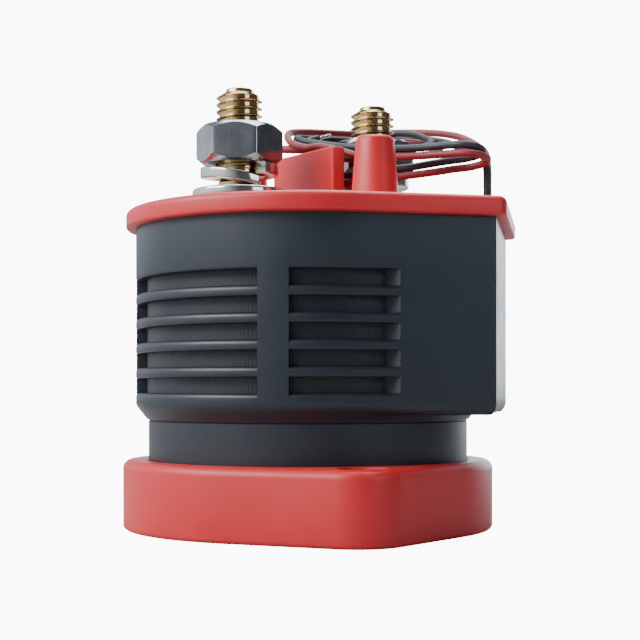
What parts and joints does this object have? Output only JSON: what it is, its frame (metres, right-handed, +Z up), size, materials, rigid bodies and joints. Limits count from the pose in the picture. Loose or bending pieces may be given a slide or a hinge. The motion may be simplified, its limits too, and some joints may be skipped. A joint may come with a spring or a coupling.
{
  "type": "high voltage dc contactor",
  "caption": "Sealed relay with a flanged red base, louvred black housing, red lid with a barrier between threaded terminals, and flying coil leads that close a bridge contact.",
  "frame": {"origin": "centre of the base's underside", "axes": "+Z up through the lid, +X to the lead pocket"},
  "size_m": [0.0679, 0.0718, 0.0753],
  "materials": {
    "red_plastic": "satin moulded",
    "black_plastic": "satin moulded",
    "brass": "turned",
    "plated_copper": "plated, rolled thread",
    "nut_steel": "plated",
    "washer_steel": "plated",
    "rubber": "matt",
    "red_insulation": "soft sheen",
    "black_insulation": "soft sheen",
    "tinned_wire": "tinned strands",
    "ceramic": "fired, unglazed",
    "copper": "bright",
    "silver": "bright",
    "spring_steel": "drawn wire",
    "soft_iron": "plated",
    "nylon": "moulded",
    "enamelled_wire": "wound",
    "magnet": "sintered",
    "board": "solder mask",
    "board_parts": "moulded"
  },
  "bodies": {
    "contactor": {"base_cup": "red_plastic", "lid": "red_plastic", "coil_case": "black_plastic", "housing": "black_plastic", "bushing_front": "brass", "bushing_rear": "brass", "stud_left": "plated_copper", "stud_right": "plated_copper", "flat_washer_left": "washer_steel", "flat_washer_right": "washer_steel", "spring_washer_left": "washer_steel", "spring_washer_right": "washer_steel", "nut_left": "nut_steel", "nut_right": "nut_steel", "lead_grommet": "rubber", "lead_black": "black_insulation", "lead_red": "red_insulation", "lead_tip_black": "tinned_wire", "lead_tip_red": "tinned_wire", "arc_chamber": "ceramic", "fixed_contact_left": "copper", "fixed_contact_right": "copper", "return_spring": "spring_steel", "fixed_core": "soft_iron", "guide_sleeve": "washer_steel", "plunger_bumper": "rubber", "bobbin": "nylon", "coil_winding": "enamelled_wire", "yoke_can": "soft_iron", "yoke_plate": "soft_iron", "magnet_front": "magnet", "magnet_rear": "magnet", "magnet_keeper": "soft_iron", "control_board": "board", "board_parts": "board_parts"},
    "armature": {"plunger": "soft_iron", "shaft": "washer_steel", "shaft_clip": "spring_steel", "spring_seat": "nylon", "contact_spring": "spring_steel"},
    "bridge": {"bridge_bar": "copper", "bridge_pads": "silver"}
  },
  "joints": [
    {"name": "plunger_slide", "type": "slide", "parent": "contactor", "child": "armature", "axis": [0, 0, 1], "range_m": [0, 0.0025], "stiffness_N_per_m": 600, "springref_m": -0.01, "deforming": ["return_spring"]},
    {"name": "bridge_slide", "type": "slide", "parent": "armature", "child": "bridge", "axis": [0, 0, 1], "range_m": [-0.0005, 0], "deforming": ["contact_spring"]}
  ],
  "couplings": [
    {"joint": "bridge_slide", "follows": "plunger_slide", "ratio": -0.2}
  ]
}
